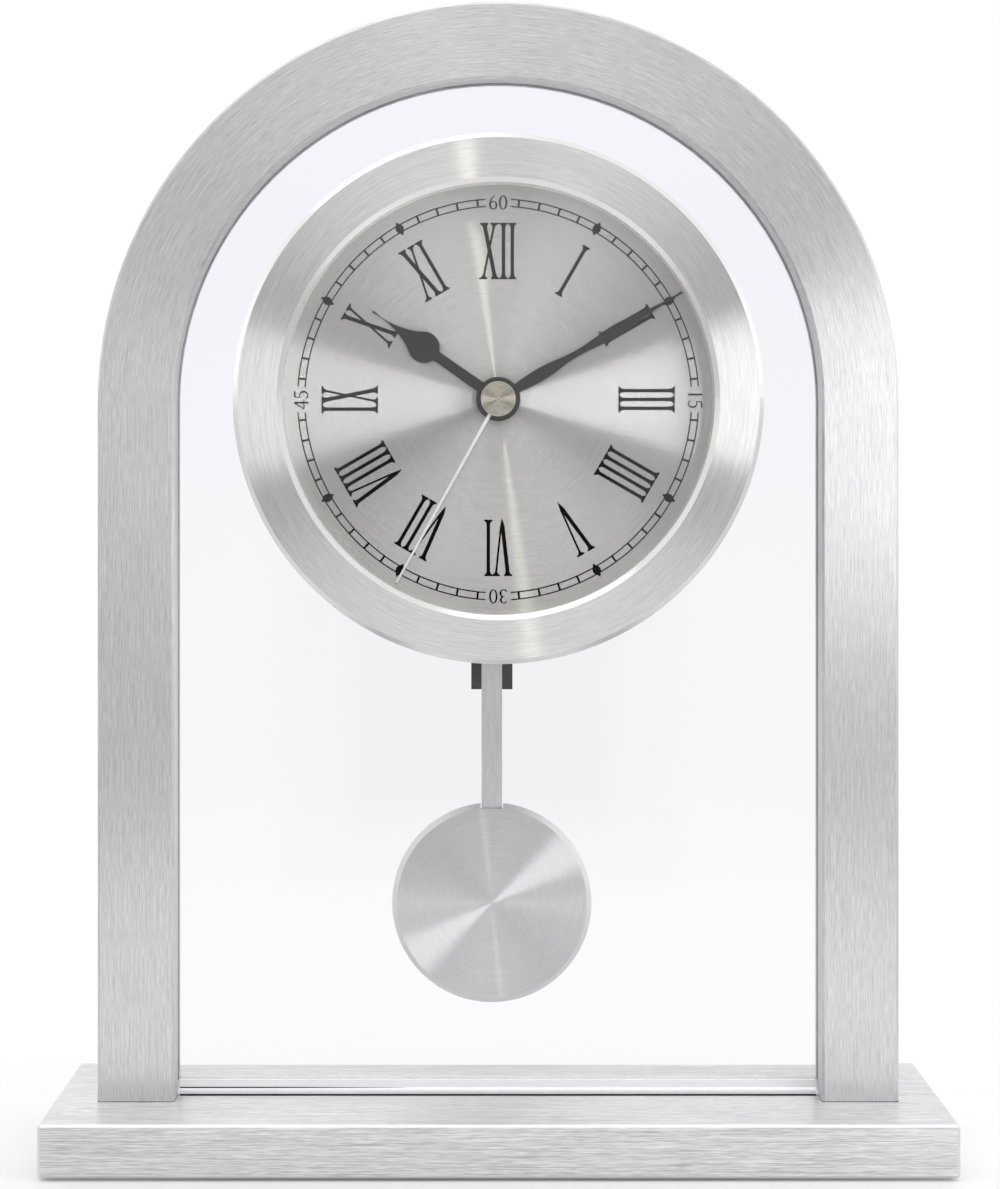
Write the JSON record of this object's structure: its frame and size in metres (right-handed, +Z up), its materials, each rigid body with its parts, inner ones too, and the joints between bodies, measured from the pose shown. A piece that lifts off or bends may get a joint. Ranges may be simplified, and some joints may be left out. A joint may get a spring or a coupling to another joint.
{
  "type": "desk pendulum clock",
  "caption": "Arched aluminium desk clock on a flat plinth, a round dial in front of a clear pane, and a disc pendulum swinging behind it under a battery quartz movement.",
  "frame": {"origin": "on the table, under the middle of the plinth", "axes": "+Z up, +Y towards the back so that the dial faces -Y, +X to the right as the dial is read"},
  "size_m": [0.18, 0.055, 0.2336],
  "materials": {
    "brushed_aluminium": "brushed",
    "spun_aluminium": "spun",
    "champagne_aluminium": "spun, anodised",
    "clear_glass": "polished",
    "clear_plastic": "polished",
    "black_plastic": "fine texture",
    "grey_plastic": "satin",
    "white_plastic": "satin",
    "black_hand_paint": "satin",
    "white_hand_paint": "satin",
    "black_rubber": "matt",
    "plated_steel": "zinc plated",
    "rod_steel": "brushed",
    "brass": "turned",
    "copper_wire": "enamelled winding",
    "nickel_magnet": "nickel plated",
    "green_board": "lacquered",
    "chip_resin": "matt",
    "battery_label": "printed sleeve"
  },
  "bodies": {
    "clock": {"base_plinth": "brushed_aluminium", "base_pads": "black_rubber", "arch_screws": "plated_steel", "arch_frame": "brushed_aluminium", "glass_pane": "clear_glass", "glazing_channel": "clear_plastic", "bezel_ring": "brushed_aluminium", "front_lens": "clear_glass", "dial_spacer": "grey_plastic", "dial_plate": "spun_aluminium", "case_drum": "black_plastic", "drum_gasket": "black_rubber", "soft_washer": "black_rubber", "threaded_bush": "brass", "nut_washer": "plated_steel", "centre_nut": "brass", "movement_front": "black_plastic", "movement_back": "black_plastic", "case_screws": "plated_steel", "train_bridge": "grey_plastic", "bridge_screws": "plated_steel", "stator": "plated_steel", "coil_core": "plated_steel", "coil_bobbin": "grey_plastic", "coil_winding": "copper_wire", "circuit_board": "green_board", "control_chip": "chip_resin", "quartz_crystal": "plated_steel", "battery": "battery_label", "battery_contact_plus": "plated_steel", "battery_contact_minus": "plated_steel", "pivot_pin": "plated_steel", "drive_coil": "copper_wire"},
    "second": {"second_hand": "white_hand_paint", "hand_cap": "champagne_aluminium", "second_arbor": "plated_steel", "second_wheel": "white_plastic"},
    "third": {"third_wheel": "white_plastic"},
    "minute": {"minute_hand": "black_hand_paint", "cannon_tube": "white_plastic", "minute_wheel": "white_plastic"},
    "motion": {"motion_wheel": "white_plastic"},
    "hour": {"hour_hand": "black_hand_paint", "hour_wheel": "white_plastic"},
    "setting": {"set_knob": "black_plastic", "set_arbor": "white_plastic"},
    "intermediate": {"intermediate_wheel": "white_plastic"},
    "rotor": {"rotor_pinion": "white_plastic", "rotor_magnet": "nickel_magnet"},
    "pendulum": {"pendulum_hanger": "black_plastic", "pendulum_magnet": "nickel_magnet", "pendulum_rod": "rod_steel", "bob_face": "spun_aluminium", "bob_weight": "rod_steel", "bob_screw": "plated_steel"}
  },
  "joints": [
    {"name": "second_turn", "type": "hinge", "parent": "clock", "child": "second", "pos_m": [0, -0.011, 0.1531], "axis": [0, 1, 0], "continuous": true},
    {"name": "third_turn", "type": "hinge", "parent": "clock", "child": "third", "pos_m": [-0.00579, 0.008, 0.14621], "axis": [0, 1, 0], "continuous": true},
    {"name": "minute_turn", "type": "hinge", "parent": "clock", "child": "minute", "pos_m": [0, -0.0102, 0.1531], "axis": [0, 1, 0], "continuous": true},
    {"name": "motion_turn", "type": "hinge", "parent": "clock", "child": "motion", "pos_m": [0.0042, 0.006, 0.14583], "axis": [0, 1, 0], "continuous": true},
    {"name": "hour_turn", "type": "hinge", "parent": "clock", "child": "hour", "pos_m": [0, -0.009, 0.1531], "axis": [0, 1, 0], "continuous": true},
    {"name": "setting_turn", "type": "hinge", "parent": "clock", "child": "setting", "pos_m": [0.00937, 0.019, 0.13966], "axis": [0, 1, 0], "continuous": true},
    {"name": "intermediate_turn", "type": "hinge", "parent": "clock", "child": "intermediate", "pos_m": [0.00912, 0.01, 0.1531], "axis": [0, 1, 0], "continuous": true},
    {"name": "rotor_turn", "type": "hinge", "parent": "clock", "child": "rotor", "pos_m": [0.01612, 0.0085, 0.1531], "axis": [0, 1, 0], "continuous": true},
    {"name": "pendulum_swing", "type": "hinge", "parent": "clock", "child": "pendulum", "pos_m": [-0.0012, 0.0115, 0.1331], "axis": [0, 1, 0], "range_deg": [-6, 6]}
  ],
  "couplings": [
    {"joint": "third_turn", "follows": "second_turn", "ratio": -0.125},
    {"joint": "minute_turn", "follows": "second_turn", "ratio": 0.016667},
    {"joint": "motion_turn", "follows": "second_turn", "ratio": -0.0055556},
    {"joint": "hour_turn", "follows": "second_turn", "ratio": 0.0013889},
    {"joint": "setting_turn", "follows": "second_turn", "ratio": 0.02},
    {"joint": "intermediate_turn", "follows": "second_turn", "ratio": -5},
    {"joint": "rotor_turn", "follows": "second_turn", "ratio": 30}
  ]
}
